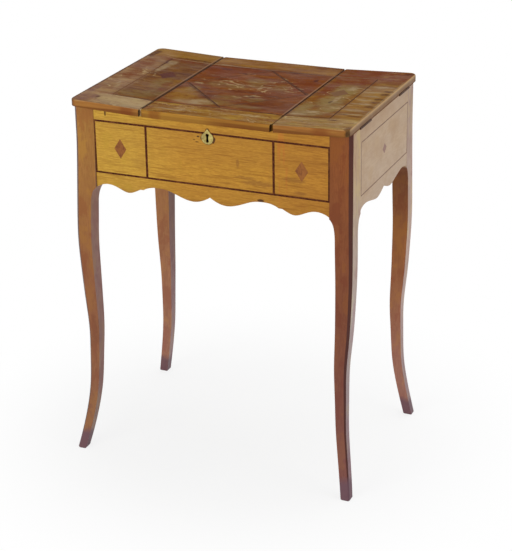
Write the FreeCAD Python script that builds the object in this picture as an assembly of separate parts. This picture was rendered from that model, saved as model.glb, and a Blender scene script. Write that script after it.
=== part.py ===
import FreeCAD, Part

import math
import os

from FreeCAD import Vector

# A poudreuse: a small dressing table on cabriole legs, its top in three lids.
# X runs to the right, Y to the back, Z up, all in millimetres.
# The pieces are drawn with the middle of the case at X = Y = 0 and the floor at Z = 0,
# and are moved along Y at the end, so that the origin is the middle of the whole table.

# Overall sizes
table_height = 715.0
case_width = 546.0
case_depth = 343.0

# Lids
lid_thick = 13.0
lid_dish = 6.0                  # how far the old top has sunk: the side lids slope in to the centre
lid_clear = 0.3                 # between the lids and the case that they close on
lid_joint = 1.2                 # between one lid and the next
lid_centre_width = 254.8
lid_front_overhang = 15.5
lid_back_overhang = 21.0
lid_end_inset = 0.3             # of a side lid's outer edge from the face of the case
lid_corner_round = 15.0
lid_notch_wide = 2.6            # worn off the corners of the lids at each end of a joint
lid_notch_long = 9.0
lid_top_round = 3.0

# Legs
front_post = 40.8
rear_post = 37.0
chamfer = 6.2                   # on the outer corner, narrower towards the foot
swell_below = 75.0              # below the top of the table, where a leg leaves the flat of the case
ear_drop = 31.0                 # below the lower stringing, where the inner face leaves the apron
knee_drop = 44.0                # of the knee below the ear
knee_thick = 32.0
ankle_thick = 18.0
side_swell = 3.5                # of a front leg beyond the side of the case
rear_side_swell = 0.5
front_swell = 8.5
rear_swell = 7.5
side_hollow = 8.0
rear_side_hollow = 9.0
front_hollow = -4.0             # the front legs lean out, so their hollow still stands proud
rear_hollow = 5.5
side_kick = 13.2
front_kick = 37.3
rear_kick = 9.0
foot_bevel = 2.2

# Boards of the case
front_thick = 18.0
side_thick = 16.0
back_thick = 15.0
tenon_thick = 7.0
tenon_long = 20.0
tenon_shoulder = 12.0
mortise_spare = 1.0
front_apron_drop = 34.3
side_apron_drop = 33.5
floor_thick = 8.0
floor_below = 141.0             # of the wells' floor below the top of the table
cleat_wide = 12.0
cleat_high = 8.0
partition_thick = 8.0
housing_deep = 4.0

# Dark wood let into the case
string_deep = 1.0
string_wide = 3.7
upright_wide = 2.8
divider_wide = 4.6
side_string_wide = 2.2
string_below = 40.5             # of the upper stringing below the top of the table
frieze_high = 99.7              # between the upper stringing and the lower
divider_at = 125.5
string_end_inset = 2.2
front_lozenge_wide = 25.0
front_lozenge_high = 38.0
side_lozenge_wide = 22.0
side_lozenge_high = 20.0
side_string_front_inset = 7.0
side_string_rear_inset = 1.6

# Dark wood let into the lids
top_string_wide = 2.6
top_string_end = 214.0
top_string_front = -126.0
top_string_back = 134.0
lozenge_line_wide = 2.8
lozenge_line_inset = 4.0
top_lozenge_wide = 36.0
top_lozenge_long = 48.0
top_lozenge_at = 175.0
top_lozenge_back = 28.0

# Keyhole and escutcheon
key_below = 49.2                # of the keyhole's middle below the top of the table
key_at = -1.6
key_round = 3.2
key_foot_round = 2.9
key_waist = 4.0
key_centres = 11.2
plate_thick = 1.3
plate_round = 11.5
plate_neck = 3.0
plate_neck_rise = 3.6
plate_tip_rise = 5.5
plate_shoulder_turn = 58.0      # degrees above level, where the round ends and the crest starts

# Lock in the front, and the link plate on the centre lid that its bolt holds down
lock_wide = 60.0
lock_high = 44.0
lock_deep = 11.0
lock_wall = 1.5
flange_wide = 74.0
flange_thick = 1.5
face_plate_thick = 1.6
link_wide = 50.0
link_deep = 12.0
link_thick = 1.2
lug_at = 11.0
lug_thick = 2.4
lug_deep = 8.0
lug_long = 11.0
lug_play = 0.8                  # round a lug in its slot
eye_deep = 4.0
eye_high = 4.2
eye_up = 2.2                    # of the eye from the foot of its lug
bolt_travel = 8.0
bolt_thick = 3.4
bolt_bar_high = 6.0
bolt_bar_drop = 3.0             # of the bar below the lugs
bolt_bar_end = 16.0             # of the bar to the right of the keyhole
guide_from = 9.0
guide_to = 15.0
guide_high = 2.0
bolt_arm_wide = 3.5
bolt_prong_high = 3.4
bolt_rest_clear = 1.0           # of a prong from its lug when the bolt is drawn back
bolt_shot_clear = 0.5           # of an arm from its lug when the bolt is shot

# Looking glass under the centre lid
glass_side_border = 25.5        # of wood beyond the glass at each side
glass_end_border = 36.5         # and from each end of it to the line of the case
glass_thick = 3.0
glass_forward = 2.0             # of the middle of the glass from the middle of the case
bead_wide = 7.0
bead_high = 3.2
bead_bevel = 2.0

# Butt hinges
hinge_long = 56.0
hinge_front_inset = 67.5        # of a side hinge's middle from the front of the case
hinge_back_inset = 61.5         # and from the back of it
centre_hinge_long = 44.0
centre_hinge_at = 82.0
leaf_thick = 1.2
leaf_wide = 14.5
side_barrel_round = 1.8
centre_barrel_round = 2.4
barrel_clear = 0.4
pin_round = 0.9
pin_clear = 0.05
knuckle_gap = 0.25
knuckle_count = 3
axis_proud = 0.3                # of a side hinge's axis from the face of the case
gain_clear = 0.15
leaf_sunk = 0.6                 # of a centre hinge's leaf into the underside of the lid

cut_over = 5.0                  # how far a cutting solid passes beyond what it cuts

# Worked out from the sizes above
half_width = case_width / 2
half_depth = case_depth / 2
string_high = table_height - string_below
apron_datum = string_high - frieze_high
ear_height = apron_datum - ear_drop
knee_height = ear_height - knee_drop
swell_start = table_height - swell_below
floor_top = table_height - floor_below
key_height = table_height - key_below
glass_wide = lid_centre_width - 2 * glass_side_border
glass_long = case_depth - 2 * glass_end_border
lid_under = table_height - lid_thick
case_top = lid_under - lid_clear
front_inner = -half_depth + front_thick
back_inner = half_depth - back_thick
side_inner = half_width - side_thick
front_post_inner = -half_depth + front_post
rear_post_inner = half_depth - rear_post
lid_front = -half_depth - lid_front_overhang
lid_back = half_depth + lid_back_overhang
lid_end = half_width - lid_end_inset
lid_split = lid_centre_width / 2 + lid_joint
hinge_axis_x = half_width + axis_proud
hinge_axis_z = lid_under - lid_clear / 2
glass_middle = -glass_forward
lock_y = front_inner - lock_deep / 2
lock_top = case_top - lid_dish - face_plate_thick
lug_foot = lid_under - lid_dish - lug_long
bar_low = lug_foot - bolt_bar_drop - bolt_bar_high

UP = Vector(0, 0, 1)
ORIGIN = Vector(0, 0, 0)
quarter_turn = 90.0


def box(x0, x1, y0, y1, z0, z1):
    return Part.makeBox(x1 - x0, y1 - y0, z1 - z0, Vector(x0, y0, z0))


def mirrored(shape):
    """The same piece for the other end of the table."""
    return shape.mirror(ORIGIN, Vector(1, 0, 0))


def spline(points):
    curve = Part.BSplineCurve()
    curve.interpolate(points)
    return curve.toShape()


def line(a, b):
    return Part.LineSegment(a, b).toShape()


def prism(points, along):
    return Part.Face(Part.makePolygon(points + points[:1])).extrude(along)


def cut_all(shape, tools):
    for tool in tools:
        shape = shape.cut(tool)
    return shape


# The top is dished: the centre lid lies lowest, and each side lid slopes up to the case's end

def sunk(x):
    """How far the top lies at x below its height at the two ends of the case."""
    return lid_dish * min(1, (half_width - abs(x)) / (half_width - lid_split))


def dished_slab(z_low, z_high, x0, x1, y0, y1):
    across = sorted({x0, x1} | {x for x in (-lid_split, lid_split) if x0 < x < x1})
    lower = [Vector(x, y0, z_low - sunk(x)) for x in across]
    upper = [Vector(x, y0, z_high - sunk(x)) for x in reversed(across)]
    return prism(lower + upper, Vector(0, y1 - y0, 0))


def under_lids(shape):
    above = dished_slab(case_top, table_height + lid_dish + cut_over, -half_width - cut_over,
                        half_width + cut_over, -case_depth, case_depth)
    return shape.cut(above)


# Legs. Each is what three sawn templates have in common: one seen from the front, one from
# the side, and one along the diagonal for the chamfered corner. A template counts u inwards
# from the face of the case.

level_shares = (0, 0.059, 0.125, 0.203, 0.297, 0.391, 0.484, 0.578, 0.672, 0.781, 0.875, 1)
kick_shares = (1, 0.64, 0.34, 0.12, 0.03, 0, 0, 0, 0, 0, 0, 0)
hollow_shares = (0, 0.25, 0.6, 0.93, 1, 0.97, 0.5, 0.18, 0, 0, 0, 0)
swell_shares = (0, 0, 0, 0, 0, 0, 0.3, 0.68, 1, 0.8, 0.42, 0)
chamfer_shares = (0.4, 0.4, 0.42, 0.47, 0.54, 0.61, 0.69, 0.77, 0.85, 0.93, 1, 1)
thick_shares = (-0.05, 0, 0.04, 0.1, 0.2, 0.36, 0.6, 0.78, 0.92)
ear_in_shares = (0, 0.06, 0.22, 0.47, 1)
ear_up_shares = (0, 0.35, 0.62, 0.82, 1)
leg_levels = [swell_start * share for share in level_shares]


def proud(kick, hollow, swell):
    """How far the outer face stands out beyond the case at each level."""
    shares = zip(kick_shares, hollow_shares, swell_shares)
    return [kick * k - hollow * h + swell * s for k, h, s in shares]


def template(outs, post, place):
    outer = [place(-out, z) for out, z in zip(outs, leg_levels)]
    inner = []
    for out, z, share in zip(outs, leg_levels, thick_shares):
        inner.append(place(ankle_thick + (knee_thick - ankle_thick) * share - out, z))
    knee = knee_thick - outs[len(thick_shares)]
    for inwards, upwards in zip(ear_in_shares, ear_up_shares):
        z = knee_height + (ear_height - knee_height) * upwards
        inner.append(place(knee + (post - knee) * inwards, z))
    top_outer, top_inner = place(0, table_height), place(post, table_height)
    edges = [spline(outer), line(outer[-1], top_outer), line(top_outer, top_inner),
             line(top_inner, inner[-1]), spline(inner), line(inner[0], outer[0])]
    return Part.Face(Part.Wire(Part.__sortEdges__(edges)))


def leg(post, x_outs, y_outs):
    """A leg in the corner where X and Y count inwards from the outer faces of the case."""
    reach = post + case_depth / 2
    from_front = template(x_outs, post, lambda u, z: Vector(u, -reach, z)).extrude(Vector(0, 2 * reach, 0))
    from_side = template(y_outs, post, lambda u, z: Vector(-reach, u, z)).extrude(Vector(2 * reach, 0, 0))

    def on_diagonal(both, z):
        return Vector((both - reach) / 2, (both + reach) / 2, z)

    corner = [on_diagonal(chamfer * share - x_out - y_out, z)
              for share, x_out, y_out, z in zip(chamfer_shares, x_outs, y_outs, leg_levels)]
    corner_top = on_diagonal(chamfer, table_height)
    far_top, far_foot = on_diagonal(reach, table_height), on_diagonal(reach, 0)
    edges = [spline(corner), line(corner[-1], corner_top), line(corner_top, far_top),
             line(far_top, far_foot), line(far_foot, corner[0])]
    from_corner = Part.Face(Part.Wire(Part.__sortEdges__(edges))).extrude(Vector(reach, -reach, 0))
    shape = from_front.common(from_side).common(from_corner)
    return shape.makeChamfer(foot_bevel, [edge for edge in shape.Edges if edge.BoundBox.ZMax < foot_bevel])


def front_leg():
    x_outs = proud(side_kick, side_hollow, side_swell)
    shape = leg(front_post, x_outs, proud(front_kick, front_hollow, front_swell))
    shape.translate(Vector(-half_width, -half_depth, 0))
    return under_lids(shape)


def rear_leg():
    x_outs = proud(side_kick, rear_side_hollow, rear_side_swell)
    shape = leg(rear_post, x_outs, proud(rear_kick, rear_hollow, rear_swell))
    shape = shape.mirror(ORIGIN, Vector(0, 1, 0))
    shape.translate(Vector(-half_width, half_depth, 0))
    return under_lids(shape)


left_legs = {"front": front_leg(), "rear": rear_leg()}
table_front = left_legs["front"].optimalBoundingBox().YMin
table_back = max(left_legs["rear"].optimalBoundingBox().YMax, lid_back)
to_origin = Vector(0, -(table_front + table_back) / 2, 0)


def save(name, solids):
    shape = Part.makeCompound(solids) if isinstance(solids, list) else solids.copy()
    shape.translate(to_origin)
    shape.exportStep(os.path.join("parts", name + ".step"))


# Boards of the case. An apron is drawn for one half and mirrored; each run of points is one
# curve, and the runs meet at a point of the outline.

front_apron_shares = (
    ((0, 0.65), (0.057, 0.87), (0.131, 1), (0.218, 0.92), (0.292, 0.74), (0.357, 0.58),
     (0.436, 0.51), (0.514, 0.55), (0.579, 0.73)),
    ((0.579, 0.73), (0.61, 0.74)),
    ((0.61, 0.74), (0.653, 0.89), (0.708, 1), (0.775, 0.88), (0.836, 0.71), (0.897, 0.65),
     (0.954, 0.73), (1, 1)),
)
side_apron_shares = (
    ((0, 0.67), (0.12, 0.87), (0.28, 1), (0.45, 0.89), (0.62, 0.73), (0.79, 0.64), (0.92, 0.72), (1, 1)),
)


def apron_edges(run_shares, half, drop, place):
    """The lower outline of a board, place(t, z) with t counted from its middle."""
    edges = []
    for run in run_shares:
        for way in (1, -1):
            points = []
            for along, down in run:
                z = ear_height if along == 1 else apron_datum - drop * down
                points.append(place(way * half * along, z))
            edges.append(spline(points) if len(points) > 2 else line(*points))
    return edges


def board(run_shares, half, drop, place, thickness):
    corners = [place(half, ear_height), place(half, table_height), place(-half, table_height),
               place(-half, ear_height)]
    edges = apron_edges(run_shares, half, drop, place)
    edges += [line(a, b) for a, b in zip(corners, corners[1:])]
    return Part.Face(Part.Wire(Part.__sortEdges__(edges))).extrude(thickness)


def tenons_x(x_inner, y_outer, thick, longer=0):
    """Tenons at the two ends of the front or the back, or with longer their mortises."""
    y0 = y_outer + (thick - tenon_thick) / 2
    low, high = ear_height + tenon_shoulder, case_top - lid_dish - tenon_shoulder
    right = box(x_inner, x_inner + tenon_long + longer, y0, y0 + tenon_thick, low, high)
    return [mirrored(right), right]


def tenons_y(longer=0):
    """Tenons at the two ends of the left side, or with longer their mortises."""
    x0 = -half_width + (side_thick - tenon_thick) / 2
    x1 = x0 + tenon_thick
    low, high = ear_height + tenon_shoulder, case_top - lid_dish - tenon_shoulder
    return [box(x0, x1, front_post_inner - tenon_long - longer, front_post_inner, low, high),
            box(x0, x1, rear_post_inner, rear_post_inner + tenon_long + longer, low, high)]


def front_board():
    half = half_width - front_post
    shape = board(front_apron_shares, half, front_apron_drop, lambda x, z: Vector(x, -half_depth, z),
                  Vector(0, front_thick, 0))
    for tenon in tenons_x(half, -half_depth, front_thick):
        shape = shape.fuse(tenon)
    return under_lids(shape.removeSplitter())


def back_board():
    half = half_width - rear_post
    shape = box(-half, half, back_inner, half_depth, ear_height, table_height)
    for tenon in tenons_x(half, back_inner, back_thick):
        shape = shape.fuse(tenon)
    return under_lids(shape.removeSplitter())


def side_board():
    half = (rear_post_inner - front_post_inner) / 2
    middle = (rear_post_inner + front_post_inner) / 2
    shape = board(side_apron_shares, half, side_apron_drop, lambda y, z: Vector(-half_width, middle + y, z),
                  Vector(side_thick, 0, 0))
    for tenon in tenons_y():
        shape = shape.fuse(tenon)
    return under_lids(shape.removeSplitter())


def mortises():
    """For the two legs at the left."""
    front = tenons_x(half_width - front_post, -half_depth, front_thick, mortise_spare)
    back = tenons_x(half_width - rear_post, back_inner, back_thick, mortise_spare)
    return front + back + tenons_y(mortise_spare)


def partition():
    middle = -lid_split + lid_joint / 2
    shape = box(middle - partition_thick / 2, middle + partition_thick / 2,
                front_inner - housing_deep, back_inner + housing_deep, floor_top, table_height)
    return under_lids(shape)


def floor_board(legs):
    shape = box(-side_inner, side_inner, front_inner, back_inner, floor_top - floor_thick, floor_top)
    return cut_all(shape, legs)


def cleats():
    top = floor_top - floor_thick
    low = top - cleat_high
    front_half, back_half = half_width - front_post, half_width - rear_post
    left = box(-side_inner, -side_inner + cleat_wide, front_post_inner, rear_post_inner, low, top)
    return {"front": box(-front_half, front_half, front_inner, front_inner + cleat_wide, low, top),
            "back": box(-back_half, back_half, back_inner - cleat_wide, back_inner, low, top),
            "left": left, "right": mirrored(left)}


# Dark wood let into the front and the sides

def lozenge(middle, across, up, thickness):
    points = [middle + across, middle + up, middle - across, middle - up]
    return prism(points, thickness)


def front_inlay():
    y0, y1 = -half_depth, -half_depth + string_deep
    end = half_width - front_post - string_end_inset
    half = string_wide / 2
    reach = end + upright_wide / 2
    strips = [box(-reach, reach, y0, y1, z - half, z + half) for z in (apron_datum, string_high)]
    for at, wide in ((end, upright_wide), (divider_at, divider_wide)):
        upright = box(at - wide / 2, at + wide / 2, y0, y1, apron_datum + half, string_high - half)
        strips += [mirrored(upright), upright]
    return strips


def front_lozenges():
    at = (divider_at + half_width - front_post) / 2
    middle_z = (apron_datum + string_high) / 2
    left = lozenge(Vector(-at, -half_depth, middle_z), Vector(front_lozenge_wide / 2, 0, 0),
                   UP * (front_lozenge_high / 2), Vector(0, string_deep, 0))
    return [left, mirrored(left)]


def side_inlay():
    x0, x1 = -half_width, -half_width + string_deep
    front = front_post_inner + side_string_front_inset
    rear = rear_post_inner - side_string_rear_inset
    half = side_string_wide / 2
    strips = [box(x0, x1, front - half, rear + half, z - half, z + half) for z in (apron_datum, string_high)]
    for y in (front, rear):
        strips.append(box(x0, x1, y - half, y + half, apron_datum + half, string_high - half))
    return strips


def side_lozenge():
    middle = Vector(-half_width, (front_post_inner + rear_post_inner) / 2, (apron_datum + string_high) / 2)
    across, up = Vector(0, side_lozenge_wide / 2, 0), UP * (side_lozenge_high / 2)
    return lozenge(middle, across, up, Vector(string_deep, 0, 0))


# Escutcheon, keyhole and lock

def keyhole(y0, y1):
    """A round eye over a round foot, joined by a straight waist."""
    eye, foot = key_height + key_centres / 2, key_height - key_centres / 2
    back = Vector(0, 1, 0)
    shape = Part.makeCylinder(key_round, y1 - y0, Vector(key_at, y0, eye), back)
    shape = shape.fuse(Part.makeCylinder(key_foot_round, y1 - y0, Vector(key_at, y0, foot), back))
    waist = box(key_at - key_waist / 2, key_at + key_waist / 2, y0, y1, foot, eye)
    return shape.fuse(waist).removeSplitter()


def escutcheon():
    """A round plate drawn up into a pointed crest."""
    y = -half_depth - plate_thick
    turn = math.radians(plate_shoulder_turn)
    shoulder_x, shoulder_z = plate_round * math.cos(turn), key_height + plate_round * math.sin(turn)
    neck_z = key_height + plate_round + plate_neck_rise / 2
    tip = Vector(key_at, y, key_height + plate_round + plate_tip_rise)

    def right(x, z):
        return Vector(key_at + x, y, z)

    def left(x, z):
        return Vector(key_at - x, y, z)

    edges = [Part.Arc(left(shoulder_x, shoulder_z), Vector(key_at, y, key_height - plate_round),
                      right(shoulder_x, shoulder_z)).toShape()]
    for side in (left, right):
        ogee = [side(shoulder_x, shoulder_z), side((shoulder_x + plate_neck) / 2, (shoulder_z + neck_z) / 2),
                side(plate_neck, neck_z), tip]
        edges.append(spline(ogee))
    shape = Part.Face(Part.Wire(Part.__sortEdges__(edges))).extrude(Vector(0, plate_thick, 0))
    return shape.cut(keyhole(y - cut_over, -half_depth + cut_over))


def lock_case():
    """A box open to the back, closed by its flanged back plate, with two ledges for the bolt."""
    y0, y1 = front_inner - lock_deep, front_inner
    low, half, flange_half = lock_top - lock_high, lock_wide / 2, flange_wide / 2
    room = half - lock_wall
    hollow = box(-room, room, y0 + lock_wall, y1, low + lock_wall, lock_top - lock_wall)
    shape = box(-half, half, y0, y1, low, lock_top).cut(hollow)
    shape = shape.fuse(box(-flange_half, flange_half, y1, y1 + flange_thick, low - lock_wall, lock_top))
    guide = box(guide_from, guide_to, y0 + lock_wall, y1, bar_low - guide_high, bar_low)
    shape = shape.fuse(guide).fuse(mirrored(guide)).removeSplitter()
    shape = cut_all(shape, lug_slots(lock_top - lock_wall - cut_over / 2, lock_top + cut_over))
    return shape.cut(keyhole(y0 - cut_over, y0 + lock_wall))


def lock_pocket():
    """The recess for the lock and, above it, the wider one for its face plate."""
    y0, y1 = front_inner - lock_deep, front_inner + cut_over
    pocket = box(-lock_wide / 2, lock_wide / 2, y0, y1, lock_top - lock_high, lock_top + cut_over)
    return pocket.fuse(box(-flange_wide / 2, flange_wide / 2, y0, y1, lock_top, table_height))


def lug_slots(low, high):
    x, y = lug_thick / 2 + lug_play, lug_deep / 2 + lug_play
    return [box(at - x, at + x, lock_y - y, lock_y + y, low, high) for at in (-lug_at, lug_at)]


def lock_face_plate():
    shape = box(-flange_wide / 2, flange_wide / 2, front_inner - lock_deep, front_inner,
                lock_top, lock_top + face_plate_thick)
    return cut_all(shape, lug_slots(lock_top - cut_over, lock_top + cut_over))


def lock_bolt():
    """A bar below the lugs, with an arm and a prong for each; drawn back to the left."""
    prong_low = lug_foot + eye_up + (eye_high - bolt_prong_high) / 2
    prong_top = prong_low + bolt_prong_high
    y0, y1 = lock_y - bolt_thick / 2, lock_y + bolt_thick / 2
    arms = [at - lug_thick / 2 - bolt_shot_clear - bolt_travel for at in (-lug_at, lug_at)]
    prongs = [at - lug_thick / 2 - bolt_rest_clear for at in (-lug_at, lug_at)]
    shape = box(arms[0] - bolt_arm_wide, bolt_bar_end, y0, y1, bar_low, bar_low + bolt_bar_high)
    for arm, prong in zip(arms, prongs):
        shape = shape.fuse(box(arm - bolt_arm_wide, arm, y0, y1, bar_low + bolt_bar_high, prong_top))
        shape = shape.fuse(box(arm, prong, y0, y1, prong_low, prong_top))
    return shape.removeSplitter()


def link_plate_blank():
    low = lid_under - lid_dish
    y0 = lock_y - link_deep / 2
    return box(-link_wide / 2, link_wide / 2, y0, y0 + link_deep, low, low + link_thick)


def link_plate():
    """The blank with two lugs hanging from it, each with an eye for a prong of the bolt."""
    shape = link_plate_blank()
    for at in (-lug_at, lug_at):
        x0, x1 = at - lug_thick / 2, at + lug_thick / 2
        lug = box(x0, x1, lock_y - lug_deep / 2, lock_y + lug_deep / 2, lug_foot, lid_under - lid_dish)
        eye = box(x0 - cut_over, x1 + cut_over, lock_y - eye_deep / 2, lock_y + eye_deep / 2,
                  lug_foot + eye_up, lug_foot + eye_up + eye_high)
        shape = shape.fuse(lug.cut(eye))
    return shape.removeSplitter()


# Butt hinges. The pin is riveted into the leaf on the case.

def leaf(long, barrel_round, own_knuckles, low, high):
    """A leaf along +X from an axis along Y, its plate between the heights low and high."""
    pitch = long / knuckle_count
    start = barrel_round + knuckle_gap
    shape = box(start, leaf_wide, -long / 2, long / 2, low, high)
    for index in own_knuckles:
        y0 = -long / 2 + pitch * index + (knuckle_gap / 2 if index else 0)
        y1 = -long / 2 + pitch * (index + 1) - (knuckle_gap / 2 if index < knuckle_count - 1 else 0)
        shape = shape.fuse(box(0, start, y0, y1, low, high))
        shape = shape.fuse(Part.makeCylinder(barrel_round, y1 - y0, Vector(0, y0, 0), Vector(0, 1, 0)))
    return shape


def case_leaf(long, barrel_round, low, high):
    pin = Part.makeCylinder(pin_round, long, Vector(0, -long / 2, 0), Vector(0, 1, 0))
    return leaf(long, barrel_round, range(0, knuckle_count, 2), low, high).fuse(pin).removeSplitter()


def lid_leaf(long, barrel_round, low, high):
    bore = Part.makeCylinder(pin_round + pin_clear, long, Vector(0, -long / 2, 0), Vector(0, 1, 0))
    return leaf(long, barrel_round, range(1, knuckle_count, 2), low, high).removeSplitter().cut(bore)


def side_hinge():
    """One hinge of the left lid, about an axis along Y at the origin, leaves to the right."""
    gap = lid_clear / 2
    half = hinge_long / 2 + gain_clear
    plate = leaf_wide + gain_clear
    barrel = side_barrel_round + barrel_clear
    seat = gap + leaf_thick
    far = cut_over + barrel
    case_gain = box(0, plate, -half, half, -seat, far)
    lid_gain = box(0, plate, -half, half, -far, seat)
    return {
        "case_leaf": case_leaf(hinge_long, side_barrel_round, -seat, -gap),
        "lid_leaf": lid_leaf(hinge_long, side_barrel_round, gap, seat),
        "case_gain": case_gain.fuse(box(-far, barrel, -half, half, -barrel, far)),
        "lid_gain": lid_gain.fuse(box(-far, barrel, -half, half, -far, barrel)),
    }


def centre_hinge():
    """One hinge of the centre lid, about an axis along X at the origin, behind the case."""
    outer = centre_barrel_round
    barrel = outer + barrel_clear
    half = centre_hinge_long / 2 + gain_clear
    pieces = {
        "case_leaf": case_leaf(centre_hinge_long, outer, -barrel, -barrel + leaf_thick),
        "lid_leaf": lid_leaf(centre_hinge_long, outer, outer - leaf_thick, outer),
        "lid_gain": box(0, leaf_wide + gain_clear, -half, half, -cut_over, outer).fuse(
            box(-barrel, barrel, -half, half, -cut_over, barrel)),
    }
    pieces["case_leaf"].rotate(ORIGIN, Vector(0, 1, 0), quarter_turn)
    for shape in pieces.values():
        shape.rotate(ORIGIN, UP, quarter_turn)
    return pieces


def moved(shape, places):
    return [shape.translated(place) for place in places]


side_hinge_places = [Vector(-hinge_axis_x, y, hinge_axis_z)
                     for y in (-half_depth + hinge_front_inset, half_depth - hinge_back_inset)]
centre_hinge_axis_y = half_depth + centre_barrel_round + barrel_clear
centre_hinge_axis_z = lid_under - sunk(centre_hinge_at) + leaf_sunk - centre_barrel_round
centre_hinge_places = [Vector(x, centre_hinge_axis_y, centre_hinge_axis_z)
                       for x in (-centre_hinge_at, centre_hinge_at)]


# Lids

def lid_board(x0, x1, outer_x=None):
    """A lid with rounded outer corners and, away from the joints between lids, a rounded top edge."""
    shape = dished_slab(lid_under, table_height, x0, x1, lid_front, lid_back)

    def at_outer_end(edge, reach):
        return outer_x is not None and abs(edge.CenterOfMass.x - outer_x) < reach

    outer = [edge for edge in shape.Edges
             if edge.BoundBox.ZLength > lid_thick / 2 and at_outer_end(edge, lid_joint)]
    if outer:
        shape = shape.makeFillet(lid_corner_round, outer)
    middle_z = (lid_under + table_height) / 2
    rounded = []
    for edge in shape.Edges:
        at_joint = edge.BoundBox.XLength < lid_joint and not at_outer_end(edge, lid_corner_round)
        on_top = edge.CenterOfMass.z > middle_z - sunk(edge.CenterOfMass.x)
        if on_top and not at_joint and edge.BoundBox.ZLength < lid_thick / 2:
            rounded.append(edge)
    shape = shape.makeFillet(lid_top_round, rounded)
    ends = [(x, way) for x, way in ((x0, 1), (x1, -1)) if x != outer_x]
    return cut_all(shape, [notch(x, y, way, back) for x, way in ends
                           for y, back in ((lid_front, 1), (lid_back, -1))])


def notch(x, y, way, back):
    """What is worn off a lid's corner at the end of a joint; way and back point into the lid."""
    in_x, in_y = x + way * lid_notch_wide, y + back * lid_notch_long
    out_x, out_y = x - way * cut_over, y - back * cut_over
    outline = [(in_x, y), (x, in_y), (out_x, in_y), (out_x, out_y), (in_x, out_y)]
    low, tall = lid_under - lid_dish - cut_over, lid_thick + lid_dish + 2 * cut_over
    return prism([Vector(at_x, at_y, low) for at_x, at_y in outline], UP * tall)


def top_inlay(points, hole=None):
    """A flat outline let into the dished top; points are X and Y."""
    layer = dished_slab(table_height - string_deep, table_height, -half_width, half_width,
                        lid_front, lid_back)
    low = Vector(0, 0, lid_under - lid_dish)
    tall = UP * (lid_thick + lid_dish + cut_over)
    shape = prism([Vector(x, y, 0) + low for x, y in points], tall)
    if hole:
        shape = shape.cut(prism([Vector(x, y, 0) + low for x, y in hole], tall))
    return shape.common(layer)


def strip(x0, x1, y0, y1):
    return top_inlay([(x0, y0), (x1, y0), (x1, y1), (x0, y1)])


def left_lid_strings():
    half = top_string_wide / 2
    x = -top_string_end
    upright = strip(x - half, x + half, top_string_front - half, top_string_back + half)
    return [upright] + [strip(x + half, -lid_split, y - half, y + half)
                        for y in (top_string_front, top_string_back)]


def centre_lid_strings():
    half = top_string_wide / 2
    end = lid_centre_width / 2
    strips = [strip(-end, end, y - half, y + half) for y in (top_string_front, top_string_back)]
    across = end - lozenge_line_inset - lozenge_line_wide
    middle = (top_string_front + top_string_back) / 2
    along = (top_string_back - top_string_front) / 2 - lozenge_line_inset
    inner_share = 1 - lozenge_line_wide / across * math.hypot(1, across / along)

    def diamond(share):
        return [(across * share, middle), (0, middle + along * share), (-across * share, middle),
                (0, middle - along * share)]

    return strips + [top_inlay(diamond(1), diamond(inner_share))]


def left_lid_lozenge():
    across, along = top_lozenge_wide / 2, top_lozenge_long / 2
    x, y = -top_lozenge_at, top_lozenge_back
    return top_inlay([(x + across, y), (x, y + along), (x - across, y), (x, y - along)])


def glass_space(z0, z1, inset=0):
    x, y = glass_wide / 2 - inset, glass_long / 2 - inset
    return box(-x, x, glass_middle - y, glass_middle + y, z0, z1)


bead_low = lid_under - lid_dish
glass_low = bead_low + bead_high
glass_top = glass_low + glass_thick


def mirror_beads():
    """Four strips mitred round the glass, bevelled on their inner lower edge."""
    hole = glass_space(bead_low - cut_over, glass_low + cut_over, bead_wide)
    ring = glass_space(bead_low, glass_low).cut(hole)
    ring = ring.makeChamfer(bead_bevel, [edge for edge in ring.Edges if at_bevel(edge)])
    x, y = glass_wide / 2, glass_long / 2
    middle = Vector(0, glass_middle, bead_low)
    corners = [Vector(-x, -y, 0), Vector(x, -y, 0), Vector(x, y, 0), Vector(-x, y, 0)]
    ends = [Vector(0, x - y, 0), Vector(0, y - x, 0)]
    outlines = [[corners[0], corners[1], ends[0]], [corners[1], corners[2], ends[1], ends[0]],
                [corners[2], corners[3], ends[1]], [corners[3], corners[0], ends[0], ends[1]]]
    return [ring.common(prism([middle + point for point in outline], UP * bead_high)) for outline in outlines]


def at_bevel(edge):
    """Whether an edge of the ring is one of its four inner lower ones."""
    middle = edge.CenterOfMass
    x, y = (glass_wide - bead_wide) / 2, (glass_long - bead_wide) / 2
    return edge.BoundBox.ZMax < glass_low and abs(middle.x) < x and abs(middle.y - glass_middle) < y


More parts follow.
